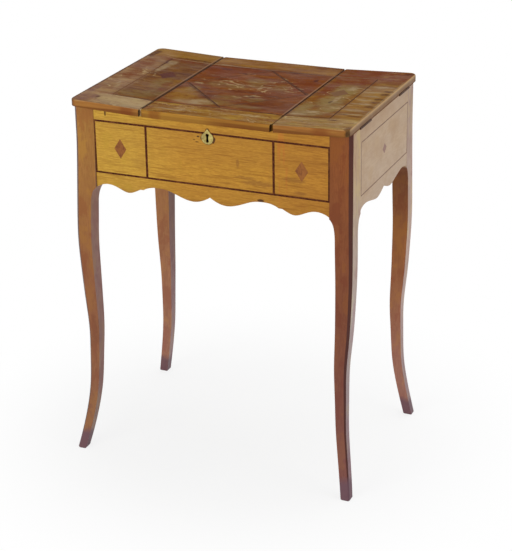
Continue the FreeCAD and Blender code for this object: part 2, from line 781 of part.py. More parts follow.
def make_case():
    hinge, back_hinge = side_hinge(), centre_hinge()
    gains = moved(hinge["case_gain"], side_hinge_places)
    strings, lozenge_side = side_inlay(), side_lozenge()
    wall = partition()
    walls = [wall, mirrored(wall)]

    front = cut_all(front_board(), front_inlay() + front_lozenges() + walls + [lock_pocket()])
    save("front_panel", front.cut(keyhole(-half_depth - cut_over, front_inner + cut_over)))
    save("back_panel", cut_all(back_board(), walls))
    side = cut_all(side_board(), gains + strings + [lozenge_side])
    save("side_panel_left", side)
    save("side_panel_right", mirrored(side))

    for name, shape in left_legs.items():
        jointed = cut_all(shape, mortises() + gains)
        save("leg_" + name + "_left", jointed)
        save("leg_" + name + "_right", mirrored(jointed))
    legs = list(left_legs.values())
    save("bottom_board", floor_board(legs + [mirrored(shape) for shape in legs]))
    for name, shape in cleats().items():
        save("cleat_" + name, shape)
    save("partition_left", wall)
    save("partition_right", walls[1])

    save("front_stringing", front_inlay())
    save("front_lozenges", front_lozenges())
    save("side_stringing_left", strings)
    save("side_stringing_right", [mirrored(shape) for shape in strings])
    save("side_lozenge_left", lozenge_side)
    save("side_lozenge_right", mirrored(lozenge_side))

    save("escutcheon", escutcheon())
    save("lock_case", lock_case())
    save("lock_face_plate", lock_face_plate())
    save("lock_bolt", lock_bolt())

    leaves = moved(hinge["case_leaf"], side_hinge_places)
    save("left_hinge_case_leaves", leaves)
    save("right_hinge_case_leaves", [mirrored(shape) for shape in leaves])
    save("centre_hinge_case_leaves", moved(back_hinge["case_leaf"], centre_hinge_places))


def make_side_lids():
    hinge = side_hinge()
    strings, solid_lozenge = left_lid_strings(), left_lid_lozenge()
    wood = cut_all(lid_board(-lid_end, -lid_split, -lid_end), moved(hinge["lid_gain"], side_hinge_places))
    pieces = {
        "lid_{}": [cut_all(wood, strings + [solid_lozenge])],
        "lid_{}_stringing": strings,
        "lid_{}_lozenge": [solid_lozenge],
        "{}_hinge_lid_leaves": moved(hinge["lid_leaf"], side_hinge_places),
    }
    for name, shapes in pieces.items():
        save(name.format("left"), shapes)
        save(name.format("right"), [mirrored(shape) for shape in shapes])


def make_centre_lid():
    hinge = centre_hinge()
    end = lid_centre_width / 2
    strings = centre_lid_strings()
    wood = cut_all(lid_board(-end, end), moved(hinge["lid_gain"], centre_hinge_places) + strings)
    save("lid_centre", cut_all(wood, [glass_space(bead_low - cut_over, glass_top), link_plate_blank()]))
    save("lid_centre_stringing", strings)
    save("centre_hinge_lid_leaves", moved(hinge["lid_leaf"], centre_hinge_places))
    save("mirror_glass", glass_space(glass_low, glass_top))
    save("mirror_bead", mirror_beads())
    save("link_plate", link_plate())


os.makedirs("parts", exist_ok=True)
make_case()
make_side_lids()
make_centre_lid()
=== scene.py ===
import math

import bmesh
import bpy
from mathutils import Matrix, Vector


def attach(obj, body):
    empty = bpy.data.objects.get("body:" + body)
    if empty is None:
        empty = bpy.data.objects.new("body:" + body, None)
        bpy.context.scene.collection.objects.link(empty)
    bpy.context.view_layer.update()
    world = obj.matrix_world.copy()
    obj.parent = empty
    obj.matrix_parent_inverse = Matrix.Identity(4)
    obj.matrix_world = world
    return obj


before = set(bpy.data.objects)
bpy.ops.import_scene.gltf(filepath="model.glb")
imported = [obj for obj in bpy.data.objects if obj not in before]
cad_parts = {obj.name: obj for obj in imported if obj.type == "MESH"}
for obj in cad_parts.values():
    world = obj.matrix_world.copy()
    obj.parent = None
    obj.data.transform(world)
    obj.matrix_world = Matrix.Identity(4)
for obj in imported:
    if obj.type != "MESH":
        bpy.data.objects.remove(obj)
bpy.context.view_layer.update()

# Places in the row's frame, in metres
CASE_Y = 0.00775                # of the middle of the case
FRONT_Y = CASE_Y - 0.1715       # of the face of the case
LID_FRONT_Y = FRONT_Y - 0.0155  # of the front edge of the lids
LOZENGE_Y = CASE_Y + 0.004      # of the middle of the centre lid's lozenge
TOP_Z = 0.715
LID_Z = 0.71                    # of the middle of the lids
KEYHOLE_X = -0.0016


def linear(value):
    """A value of a screen's colour, 0 to 255, as light, 0 to 1."""
    return value / 3294.6 if value <= 10 else ((value / 255 + 0.055) / 1.055) ** 2.4


def tone(red, green, blue, level=1.0):
    """A colour given as it looks on a screen, in the linear values that shaders use."""
    levels = level if isinstance(level, tuple) else (level,) * 3
    return tuple(share * linear(value) for value, share in zip((red, green, blue), levels))


class Shader:
    """A material being built, with short ways to add its nodes."""

    def __init__(self, name, roughness=0.5, specular=0.3, **settings):
        self.material = bpy.data.materials.new(name)
        self.material.use_nodes = True
        self.tree = self.material.node_tree
        self.surface = self.tree.nodes["Principled BSDF"]
        self.set("Roughness", roughness)
        self.set("Specular IOR Level", specular)
        for key, value in settings.items():
            self.set(key, value)
        self.coordinates = self.add("ShaderNodeTexCoord")
        self.place = self.coordinates.outputs["Object"]

    def add(self, kind, inputs=(), **settings):
        node = self.tree.nodes.new(kind)
        for key, value in settings.items():
            setattr(node, key, value)
        for key, value in dict(inputs).items():
            self.put(node.inputs[key], value)
        return node

    def put(self, socket, value):
        if isinstance(value, bpy.types.NodeSocket):
            self.tree.links.new(value, socket)
        elif value is not None:
            if socket.type == "RGBA" and len(value) == 3:
                value = (*value, 1)
            socket.default_value = value

    def set(self, name, value):
        self.put(self.surface.inputs[name], value)

    def axis(self, name, vector=None):
        return self.add("ShaderNodeSeparateXYZ", {"Vector": vector or self.place}).outputs[name]

    def facing(self, name):
        """One part of the surface's direction."""
        return self.axis(name, self.coordinates.outputs["Normal"])

    def scaled(self, scale, offset=(0, 0, 0), vector=None):
        inputs = {"Vector": vector or self.place, "Scale": scale, "Location": offset}
        return self.add("ShaderNodeMapping", inputs).outputs[0]

    def noise_node(self, scale, detail, rough=0.5, vector=None, offset=(0, 0, 0), distortion=0):
        scale = scale if isinstance(scale, tuple) else (scale,) * 3
        inputs = {"Vector": self.scaled(scale, offset, vector), "Scale": 1.0, "Detail": detail,
                  "Roughness": rough, "Distortion": distortion}
        return self.add("ShaderNodeTexNoise", inputs)

    def noise(self, scale, detail=3, rough=0.55, vector=None, offset=(0, 0, 0), distortion=0):
        return self.noise_node(scale, detail, rough, vector, offset, distortion).outputs[0]

    def warped(self, size, scale=60.0):
        """The place, moved about by noise so that edges drawn from it wander."""
        noise = self.noise_node(scale, 3).outputs[1]
        centred = self.add("ShaderNodeVectorMath", {0: noise, 1: (0.5, 0.5, 0.5)}, operation="SUBTRACT")
        shift = self.add("ShaderNodeVectorMath", {0: centred.outputs[0], 3: size}, operation="SCALE")
        moved = self.add("ShaderNodeVectorMath", {0: self.place, 1: shift.outputs[0]}, operation="ADD")
        return moved.outputs[0]

    def math(self, operation, a, b=None):
        node = self.add("ShaderNodeMath", operation=operation)
        for socket, value in zip(node.inputs, (a, b)):
            self.put(socket, value)
        return node.outputs[0]

    def product(self, result, *others):
        for other in others:
            result = self.math("MULTIPLY", result, other)
        return result

    def most(self, values):
        result = values[0]
        for value in values[1:]:
            result = self.math("MAXIMUM", result, value)
        return result

    def away(self, value, centre):
        """How far a value is from a centre."""
        return self.math("ABSOLUTE", self.math("SUBTRACT", value, centre))

    def rerange(self, value, low, high, to_low=0.0, to_high=1.0, kind="SMOOTHSTEP"):
        inputs = {"Value": value, "From Min": low, "From Max": high, "To Min": to_low, "To Max": to_high}
        return self.add("ShaderNodeMapRange", inputs, interpolation_type=kind).outputs[0]

    def strip(self, name, low, high, soft):
        """1 between two values of an axis."""
        value = self.axis(name)
        rise = self.rerange(value, low - soft, low + soft)
        return self.product(rise, self.rerange(value, high + soft, high - soft))

    def blob(self, centre, radii, soft=0.6, vector=None):
        """1 inside an ellipsoid and 0 outside it; None leaves an axis out."""
        scale = tuple(0 if r is None else 1 / r for r in radii)
        offset = tuple(0 if r is None else -c / r for c, r in zip(centre, radii))
        where = self.scaled(scale, offset, vector)
        length = self.add("ShaderNodeVectorMath", {0: where}, operation="LENGTH").outputs[1]
        return self.rerange(length, 1 + soft / 2, 1 - soft / 2)

    def mix(self, factor, a, b, blend="MIX"):
        node = self.add("ShaderNodeMix", data_type="RGBA", blend_type=blend)
        self.put(node.inputs[0], factor)
        self.put(node.inputs[6], a)
        self.put(node.inputs[7], b)
        return node.outputs[2]

    def tinted(self, colour, tint, mask, strength):
        """The colour turned towards a tint where the mask is 1."""
        return self.mix(self.product(mask, strength), colour, tint)

    def shade(self, colour, factor):
        factor = factor if isinstance(factor, tuple) else (factor,) * 3
        return self.mix(1.0, colour, factor, "MULTIPLY")

    def stops(self, value, steps):
        """A colour that passes through the given ones as value falls."""
        colour = steps[0][1]
        for (high, _), (low, after) in zip(steps, steps[1:]):
            colour = self.mix(self.rerange(value, high, low, kind="LINEAR"), colour, after)
        return colour

    def bump(self, height, distance, strength=1.0, normal=None):
        inputs = {"Height": height, "Distance": distance, "Strength": strength}
        if normal is not None:
            inputs["Normal"] = normal
        return self.add("ShaderNodeBump", inputs).outputs[0]

    def finish(self, colour, roughness, normal):
        self.set("Base Color", colour)
        self.set("Roughness", roughness)
        self.set("Normal", normal)
        return self.material


GRAIN = {"X": (1, 14, 14), "Y": (14, 1, 14), "Z": (14, 14, 1)}


def wood(shader, along, base, dark=None, pale=None, ring=18.0, figure=0.35, seed=0.0, wander=0.004,
         lines=0.0):
    """Colour, height and fibre of sawn wood whose grain runs along one axis."""
    def grain(size):
        return tuple(size * share for share in GRAIN[along])

    offset = (seed * 1.7, seed * 0.9, seed * 2.3)
    dark = shader.shade(base, 0.55) if dark is None else dark
    pale = shader.shade(base, 1.22) if pale is None else pale
    drift = shader.warped(wander, grain(2.2))
    rings = shader.noise(grain(ring), 2, 0.5, drift, offset)
    rings = shader.rerange(shader.math("SINE", shader.product(rings, 34.0)), -0.6, 1.0)
    fibre = shader.noise(grain(70.0), 4, 0.65, drift, offset)
    pores = shader.rerange(shader.noise(grain(150.0), 2, 0.5, None, offset), 0.62, 0.72)
    slow = shader.noise(grain(4.5 * 0.45), 3, 0.5, drift, offset)
    colour = shader.mix(shader.rerange(slow, 0.32, 0.68), base, pale)
    colour = shader.tinted(colour, dark, rings, figure)
    colour = shader.tinted(colour, dark, shader.rerange(fibre, 0.5, 0.75), 0.45)
    colour = shader.tinted(colour, dark, pores, 0.35)
    if lines:
        # dark lines two or three millimetres apart, gathered in some places more than in others
        fine = shader.noise(grain(13.0 * 1.45), 2, 0.5, drift, (5.0, seed, 3.0))
        where = shader.noise(grain(8.0 * 0.5), 2, 0.5, drift, (1.0, 2.0, seed))
        where = shader.rerange(where, 0.38, 0.62, 0.3, 1.0)
        fine = shader.product(shader.rerange(fine, 0.52, 0.66), where)
        colour = shader.tinted(colour, dark, fine, lines)
    height = shader.math("ADD", shader.product(fibre, 0.7), shader.product(rings, 0.18))
    return colour, height, fibre


def polished(shader, height, fibre, rough_low, rough_high, depth=0.00012):
    """Roughness and normal of a waxed or varnished surface, slightly uneven from hand planing."""
    planed = shader.bump(shader.noise(22.0, 2, 0.5), 0.0006, 0.6)
    normal = shader.bump(height, depth, 0.7, planed)
    patches = shader.noise(9.0, 4, 0.6, offset=(3.1, 4.2, 1.7))
    level = shader.math("ADD", shader.product(patches, 0.7), shader.product(fibre, 0.3))
    return shader.rerange(level, 0.3, 0.7, rough_low, rough_high), normal


# Materials of the case

# Brown smudges on the front, each with its place and radii in X and Z, how far its edge wanders
# and its strength
SMUDGES = [(0.163, 0.606, 0.024, 0.004, 0.010, 1.0), (0.176, 0.583, 0.012, 0.003, 0.0, 1.0),
           (0.056, 0.625, 0.003, 0.008, 0.0, 1.0), (0.098, 0.591, 0.030, 0.005, 0.016, 1.0),
           (0.070, 0.600, 0.020, 0.003, 0.016, 1.0), (-0.140, 0.602, 0.014, 0.008, 0.016, 0.5)]

# Holes and dents in the front, each with its place and radii in X and Z; the second one is a painted shadow
# beside the escutcheon's right edge
DENTS_AND_SHADOW = [(-0.0145, 0.6648, 0.0014, 0.0026), (0.0113, 0.6640, 0.0022, 0.0048),
         (0.0095, 0.6585, 0.0020, 0.0020), (-0.0205, 0.6668, 0.0028, 0.0014),
         (-0.0225, 0.6565, 0.0034, 0.0007), (-0.0285, 0.6600, 0.0026, 0.0007),
         (-0.2072, 0.6905, 0.0016, 0.0058), (0.1000, 0.5600, 0.0065, 0.0026)]


def frieze_wood():
    s = Shader("frieze_wood", specular=0.12)
    z = s.axis("Z")
    base = s.stops(s.axis("X"), [(0.20, tone(177, 121, 45)), (0.10, tone(184, 131, 48)),
                                 (-0.05, tone(185, 133, 49)), (-0.16, tone(192, 147, 58))])
    dark, pale = s.shade(base, (0.52, 0.42, 0.36)), s.shade(base, (1.15, 1.2, 1.1))
    colour, height, fibre = wood(s, "X", base, dark, pale, figure=0.3, seed=1.0, lines=0.55)
    flecks = s.rerange(s.noise((130.0, 60.0, 420.0), 3, 0.6, offset=(7.0, 0.0, 2.0)), 0.42, 0.66, 0.0, 0.35)
    colour = s.mix(flecks, colour, s.shade(base, (0.74, 0.62, 0.5)))
    # red streaks beside the right upright, and painted light above the upper stringing, lifting the shade
    # under the lids
    streaks = s.rerange(s.noise((260.0, 20.0, 14.0), 2, 0.5, offset=(1.0, 0.0, 9.0)), 0.5, 0.64)
    colour = s.tinted(colour, tone(186, 104, 44), s.product(streaks, s.strip("X", 0.130, 0.152, 0.004)), 0.4)
    colour = s.mix(s.rerange(z, 0.675, 0.686), colour, s.shade(colour, (1.15, 1.22, 1.14)))
    # a greener and browner figure crosses the grain
    mottle = s.noise((55.0, 20.0, 30.0), 3, 0.6, offset=(2.0, 0.0, 6.0))
    colour = s.mix(s.rerange(mottle, 0.55, 0.72, 0.0, 0.4), colour, s.shade(base, (0.84, 0.88, 0.62)))
    smudge = s.most([s.product(s.blob((at_x, None, at_z), (wide, None, high), 0.9,
                                      s.warped(wander) if wander else None), strength)
                     for at_x, at_z, wide, high, wander, strength in SMUDGES])
    colour = s.tinted(colour, tone(112, 66, 34), smudge, 0.42)
    jagged = s.warped(0.0012, 300.0)
    # holes and dents, and a painted shadow at the escutcheon's right edge
    dents_and_shadow = s.most([s.blob((at_x, FRONT_Y, at_z), (wide, 0.012, high), 0.6, jagged)
                    for at_x, at_z, wide, high in DENTS_AND_SHADOW])
    colour = s.tinted(colour, tone(58, 28, 18), dents_and_shadow, 0.9)
    # darker round the escutcheon, and dirt along the sawn edge of the apron and beside the posts
    ring = s.most([s.blob((KEYHOLE_X, FRONT_Y, 0.6658), (0.0129, 0.004, 0.0129), 0.12),
                   s.blob((KEYHOLE_X, FRONT_Y, 0.6790), (0.0042, 0.004, 0.0055), 0.3)])
    colour = s.tinted(colour, tone(96, 54, 24), ring, 0.75)
    colour = s.mix(s.rerange(z, 0.552, 0.540, 0.0, 0.3), colour, tone(120, 72, 34))
    seam = s.most([s.strip("X", -0.2332, -0.2310, 0.0006), s.strip("X", 0.2310, 0.2332, 0.0006)])
    colour = s.tinted(colour, tone(90, 48, 26), seam, 0.8)
    # painted shade: the inside of the keyhole is coloured nearly black
    hole = s.blob((KEYHOLE_X, FRONT_Y + 0.0095, 0.6658), (0.008, 0.0092, 0.013), 0.05)
    inside = s.product(hole, s.rerange(s.facing("Y"), -0.9, -0.6))
    colour = s.mix(inside, colour, (0.006, 0.004, 0.003))
    return s.finish(colour, *polished(s, height, fibre, 0.36, 0.56))


def leg_wood(name, front, side, edge, seed):
    """Posts and legs: what faces the front, what faces right, and the dark bevel on the outer corner; the
    colours of what faces right hold painted sheen on the right legs and painted shade on the left legs'
    inner faces.
    """
    s = Shader(name, specular=0.12)
    z = s.axis("Z")
    # faces turned to the right take the side colours: painted sheen on the right legs, painted shade on the
    # inner faces of the left legs
    base = s.mix(s.rerange(s.facing("X"), 0.62, 0.86), s.stops(z, front), s.stops(z, side))
    dark = s.shade(base, (0.66, 0.58, 0.6))
    colour, height, fibre = wood(s, "Z", base, dark, s.shade(base, 1.16), ring=13.0, figure=0.28, seed=seed)
    # golden and rusty clouds, and stains
    cloud = s.noise((42.0, 42.0, 17.0), 3, 0.6, s.warped(0.02), offset=(seed, 7.0, 2.0))
    colour = s.mix(s.rerange(cloud, 0.52, 0.62, 0.0, 0.7), colour, s.shade(base, (1.16, 1.20, 0.90)))
    colour = s.mix(s.rerange(cloud, 0.48, 0.38, 0.0, 0.7), colour, s.shade(base, (0.88, 0.72, 0.76)))
    stain = s.noise((14.0, 14.0, 5.0), 3, 0.6, offset=(seed, 2.0, 5.0))
    colour = s.mix(s.rerange(stain, 0.56, 0.74, 0.0, 0.35), colour, dark)
    corner = s.math("ABSOLUTE", s.product(s.facing("X"), s.facing("Y")))
    colour = s.mix(s.rerange(corner, 0.30, 0.44, 0.0, 0.95), colour, edge)
    # the feet are stained by the floor
    foot = s.rerange(s.axis("Z", s.warped(0.014)), 0.046, 0.028, 0.0, 0.85)
    colour = s.mix(foot, colour, tone(104, 76, 86))
    return s.finish(colour, *polished(s, height, fibre, 0.32, 0.52))


def side_wood(name, base):
    s = Shader(name, specular=0.3)
    z = s.axis("Z")
    base = s.mix(s.rerange(z, 0.64, 0.55), base, s.shade(base, (1.03, 1.06, 1.15)))
    dark, pale = s.shade(base, (0.78, 0.72, 0.66)), s.shade(base, (1.06, 1.05, 1.0))
    colour, height, fibre = wood(s, "Y", base, dark, pale, ring=11.0, seed=4.0, figure=0.25)
    uneven = s.warped(0.02)
    patch = s.most([s.blob((None, CASE_Y - 0.045, 0.645), (None, 0.022, 0.020), 0.9, uneven),
                    s.blob((None, CASE_Y + 0.050, 0.655), (None, 0.030, 0.012), 0.9, uneven),
                    s.blob((None, CASE_Y - 0.075, 0.600), (None, 0.016, 0.012), 0.9, uneven)])
    colour = s.tinted(colour, s.shade(base, (0.92, 0.82, 0.60)), patch, 0.5)
    mottle = s.rerange(s.noise((20.0, 34.0, 46.0), 4, 0.65, offset=(4.0, 1.0, 0.0)), 0.42, 0.68, 0.0, 0.7)
    colour = s.mix(mottle, colour, s.shade(base, (0.86, 0.78, 0.66)))
    # painted shade under the lids: darker towards the top
    colour = s.mix(s.rerange(z, 0.672, 0.694, 0.0, 0.45), colour, s.shade(base, (0.78, 0.66, 0.52)))
    return s.finish(colour, *polished(s, height, fibre, 0.34, 0.5))


def plain_wood(name, along, base, dark, pale, low, high, seed, specular=0.2):
    s = Shader(name, specular=specular)
    colour, height, fibre = wood(s, along, base, dark, pale, seed=seed)
    dust = s.rerange(s.noise(7.0, 4, 0.6, offset=(seed, 0, 0)), 0.5, 0.75, 0.0, 0.4)
    colour = s.mix(dust, colour, dark)
    return s.finish(colour, *polished(s, height, fibre, low, high, 0.0002))


def red_wood():
    """The lozenges of the front."""
    s = Shader("red_wood", specular=0.12)
    dark, pale = tone(92, 50, 28), tone(156, 98, 48)
    colour, height, fibre = wood(s, "Z", tone(142, 86, 42), dark, pale, ring=30.0, seed=8.0)
    mottle = s.rerange(s.noise(160.0, 2, 0.5), 0.45, 0.7, 0.0, 0.6)
    colour = s.mix(mottle, colour, tone(112, 62, 34))
    return s.finish(colour, *polished(s, height, fibre, 0.35, 0.5))


def lozenge_wood(name, base):
    s = Shader(name, specular=0.015)
    colour, height, fibre = wood(s, "X", base, s.shade(base, 0.6), s.shade(base, 1.2), ring=22.0, seed=9.0)
    return s.finish(colour, *polished(s, height, fibre, 0.35, 0.5))


WORN_LINE = tone(94, 56, 30, 0.75)


def worn_lines(s, colour):
    """The dark lines of the lids, nearly worn away in some places, and the back line painted paler, a
    painted highlight.
    """
    x, y = s.axis("X"), s.axis("Y")
    # two sides of the centre lid's lozenge
    side = s.rerange(s.product(x, s.math("SUBTRACT", y, LOZENGE_Y)), 0.0001, -0.0001)
    inside = s.product(s.strip("Y", CASE_Y - 0.123, CASE_Y + 0.131, 0.001),
                       s.strip("X", -0.127, 0.127, 0.001))
    colour = s.tinted(colour, WORN_LINE, s.product(side, inside), 0.75)
    # the back line is painted paler, most of all on its left, a painted highlight; the left of the front
    # line and the front of the left lid's outer line fade
    back = s.product(s.rerange(y, CASE_Y + 0.131, CASE_Y + 0.133), s.rerange(x, 0.02, -0.08, 0.45, 0.9))
    colour = s.mix(back, colour, tone(150, 118, 82, 0.85))
    front = s.product(s.rerange(y, CASE_Y - 0.122, CASE_Y - 0.125), s.rerange(x, 0.06, -0.10, 0.15, 0.7))
    colour = s.mix(front, colour, WORN_LINE)
    left = s.product(s.strip("X", -0.222, -0.210, 0.001),
                     s.rerange(y, CASE_Y + 0.10, CASE_Y + 0.05, 0.0, 0.8))
    return s.mix(left, colour, tone(112, 72, 44, 0.85))


def dark_wood(name, dark, pale, rubbed, faded=False):
    """Stringing, stained dark and here and there worn."""
    s = Shader(name, specular=0.015 if faded else 0.04)
    speckle = s.noise(240.0, 3, 0.6)
    colour = s.mix(s.rerange(speckle, 0.35, 0.7), dark, pale)
    worn = s.rerange(s.noise(45.0, 3, 0.6, offset=(2.0, 7.0, 1.0)), 0.52, 0.7, 0.0, 0.55)
    colour = s.mix(worn, colour, rubbed)
    if faded:
        colour = worn_lines(s, colour)
    return s.finish(colour, s.rerange(speckle, 0.3, 0.7, 0.35, 0.6), s.bump(speckle, 0.0001, 0.5))


# The lids: worn varnish with stains and rubbed places, and pale streaks and patches that are partly painted
# sheen

def varnished(red, green, blue):
    """What lies under the varnish where it looks so, its white sheen and the lamps' level taken off."""
    return tuple(max(0.003, (value - 0.020) / 1.2) for value in tone(red, green, blue))


PALE_WEAR_AND_SHEEN = varnished(158, 134, 100)
OLIVE = varnished(138, 114, 72)
DARK = varnished(72, 44, 36)
MAUVE = varnished(92, 62, 60)
RED = varnished(114, 62, 31)
GOLD = varnished(152, 112, 56)

# Stains, rubbed places and painted sheen of each lid: a tint, its strength, and for each spot its place
# from the middle of the case and its radii, in X and Y, in millimetres. The pale and olive patches are
# partly painted sheen of the varnish, and the right lid's thin pale line along its right edge is a painted
# highlight
LEFT_SPOTS = [
    (PALE_WEAR_AND_SHEEN, 0.75, [(-203, 100, 9, 30), (-204, 70, 6, 30), (-206, 60, 4, 26), (-238, -55, 3, 10),
                  (-231, -74, 3, 12), (-190, -155, 34, 26), (-160, -158, 30, 24), (-225, -140, 14, 8)]),
    (varnished(186, 160, 118), 0.6, [(-185, -150, 34, 12), (-150, -156, 22, 14)]),
    (OLIVE, 0.5, [(-180, -100, 36, 18), (-150, -84, 20, 20), (-165, -20, 18, 34)]),
    (MAUVE, 0.8, [(-215, 110, 3, 24)]),
    (varnished(126, 92, 82), 0.8, [(-255, -162, 16, 22), (-240, -150, 10, 10), (-262, -110, 8, 24)]),
    (RED, 0.7, [(-150, -25, 10, 14), (-146, -60, 8, 12), (-250, 80, 18, 44), (-240, 10, 16, 30),
                (-190, 128, 44, 12)]),
    (GOLD, 0.5, [(-200, 168, 66, 16), (-140, -10, 6, 30)]),
    (DARK, 0.8, [(-232, -152, 4, 5), (-170, 143, 40, 4), (-262, 150, 8, 24), (-269, 0, 2.5, 190)]),
]
CENTRE_SPOTS = [
    (GOLD, 0.75, [(-94, -76, 30, 34), (-58, -104, 46, 16), (-106, -50, 18, 26)]),
    (OLIVE, 0.5, [(0, 50, 22, 18), (-65, 15, 18, 14), (10, 30, 14, 16), (-20, 5, 24, 12),
                  (60, 30, 14, 20), (-10, -60, 24, 16), (40, -60, 20, 14), (-95, -30, 14, 20),
                  (-24, -96, 40, 16), (36, -104, 34, 12)]),
    (PALE_WEAR_AND_SHEEN, 0.8, [(-60, -106, 34, 13), (-40, -100, 24, 8), (-100, 8, 10, 4), (24, 14, 4, 10),
                 (34, 24, 10, 3), (-106, 138, 24, 2.8), (-62, 136, 22, 1.8), (-60, -160, 50, 3),
                 (60, -150, 40, 3)]),
    (RED, 0.8, [(100, 10, 18, 40), (-80, 100, 46, 34), (-30, 112, 40, 16), (45, -10, 24, 8),
                (90, 60, 26, 50), (-122, -165, 8, 14), (-60, 60, 30, 14)]),
    (MAUVE, 0.7, [(60, 131, 44, 4), (-88, 112, 12, 6)]),
    (DARK, 0.85, [(-38, 94, 18, 2.8), (34, -12, 4, 4), (28, -44, 8, 4), (96, -126, 34, 2.5),
                  (0, 131, 110, 2), (104, 95, 3.6, 9)]),
]
RIGHT_SPOTS = [
    (OLIVE, 0.95, [(182, 40, 26, 36), (178, -24, 26, 38), (192, -66, 18, 30), (166, -100, 26, 20),
                   (146, -80, 14, 40)]),
    (PALE_WEAR_AND_SHEEN, 0.9, [(190, 62, 8, 14), (184, -10, 5, 20), (240, 80, 20, 5), (236, 46, 20, 5),
                 (240, 20, 18, 5), (238, -4, 18, 4), (240, -30, 18, 5), (238, -70, 20, 6),
                 (244, -95, 20, 4), (270, 0, 2.5, 150), (160, -140, 26, 4), (232, -152, 20, 5),
                 (168, -92, 12, 6), (150, -112, 14, 5), (196, 66, 10, 4)]),
    (OLIVE, 0.8, [(166, -150, 26, 2.6), (214, -160, 34, 2.8), (150, -170, 18, 3), (240, -174, 20, 2.6),
                  (200, -144, 16, 2.4)]),
    (GOLD, 0.6, [(160, -160, 22, 3), (222, -152, 22, 2.8), (190, -178, 30, 3)]),
    (RED, 0.95, [(147, 60, 13, 70), (180, 104, 44, 16), (200, 140, 80, 30), (200, 176, 80, 22),
                 (256, 150, 22, 42)]),
    (MAUVE, 0.7, [(268, -176, 7, 13), (172, 27, 6, 5), (225, -134, 12, 3)]),
    (DARK, 0.75, [(262, 55, 9, 6), (262, 35, 9, 6), (262, 5, 9, 6), (260, -15, 9, 7), (260, -45, 9, 7),
                  (228, -98, 14, 2.5), (254, -105, 14, 2.5), (181, -30, 3, 8), (222, -136, 9, 2),
                  (262, 176, 12, 9)]),
]


def spotted(s, colour, spots, broken, moved):
    """The colour with the spots on it; the edges of thin spots wander less than those of others."""
    steady = s.warped(0.005, 70.0)
    for tint, strength, places in spots:
        marks = s.most([s.blob((at_x / 1000, CASE_Y + at_y / 1000, LID_Z), (wide / 1000, deep / 1000, 0.05),
                               0.9, steady if min(wide, deep) < 3 else moved)
                        for at_x, at_y, wide, deep in places])
        colour = s.tinted(colour, tint, s.product(marks, broken), strength)
    return colour


def lozenge_grime(s):
    """1 along the two sides of the centre lid's lozenge that have kept their dark line."""
    across = s.math("DIVIDE", s.math("SUBTRACT", s.axis("Y"), LOZENGE_Y), 0.126)
    along = s.math("ADD", s.math("DIVIDE", s.axis("X"), 0.1234), across)
    beside = s.rerange(s.away(s.math("ABSOLUTE", along), 1.0), 0.045, 0.020)
    within = s.product(s.strip("X", -0.123, 0.123, 0.001),
                       s.strip("Y", CASE_Y - 0.120, CASE_Y + 0.128, 0.001))
    return s.product(beside, within)


def hairlines(s, seed, ripple, front):
    """1 on the scratches in the varnish, most of them in the middle of each lid and along the front."""
    jagged = s.warped(0.010, 90.0)
    swirl = s.noise((13.0, 34.0, 13.0), 2, 0.4, jagged, offset=(seed, 9.0, 4.0), distortion=0.8)
    hair = s.most([s.rerange(s.away(swirl, 0.5), 0.013, 0.004),
                   s.product(s.rerange(s.away(ripple, 0.53), 0.016, 0.005), front)])
    where = s.rerange(s.noise((30.0, 60.0, 30.0), 2, 0.5, offset=(3.0, seed, 8.0)), 0.42, 0.56)
    places = s.most([front, s.blob((0.010, CASE_Y + 0.020, LID_Z), (0.10, 0.08, 0.05), 0.9),
                     s.blob((0.185, CASE_Y - 0.010, LID_Z), (0.05, 0.11, 0.05), 0.9),
                     s.blob((-0.235, CASE_Y - 0.020, LID_Z), (0.04, 0.12, 0.05), 0.9)])
    return s.product(hair, where, places)


def joints(s, colour):
    """Darker bands along the joints between the lids, and paler strips on the edges beside them."""
    y = s.axis("Y")
    right = s.product(s.strip("X", 0.1258, 0.1304, 0.0005),
                      s.rerange(y, CASE_Y - 0.150, CASE_Y - 0.132, 0.25, 1.0))
    left = s.product(s.strip("X", -0.1314, -0.1256, 0.0006),
                     s.rerange(y, LID_FRONT_Y + 0.0090, LID_FRONT_Y + 0.0110))
    pale_strip_right = s.product(s.strip("X", 0.1228, 0.1254, 0.0005),
                             s.strip("Y", CASE_Y - 0.130, CASE_Y + 0.130, 0.03))
    pale_strip_left = s.product(s.strip("X", -0.1346, -0.1320, 0.0005),
                            s.rerange(y, CASE_Y - 0.125, CASE_Y - 0.095))
    colour = s.tinted(colour, varnished(156, 120, 90), s.most([pale_strip_right, pale_strip_left]), 0.6)
    return s.tinted(colour, (0.034, 0.013, 0.005), s.most([right, left]), 0.8)


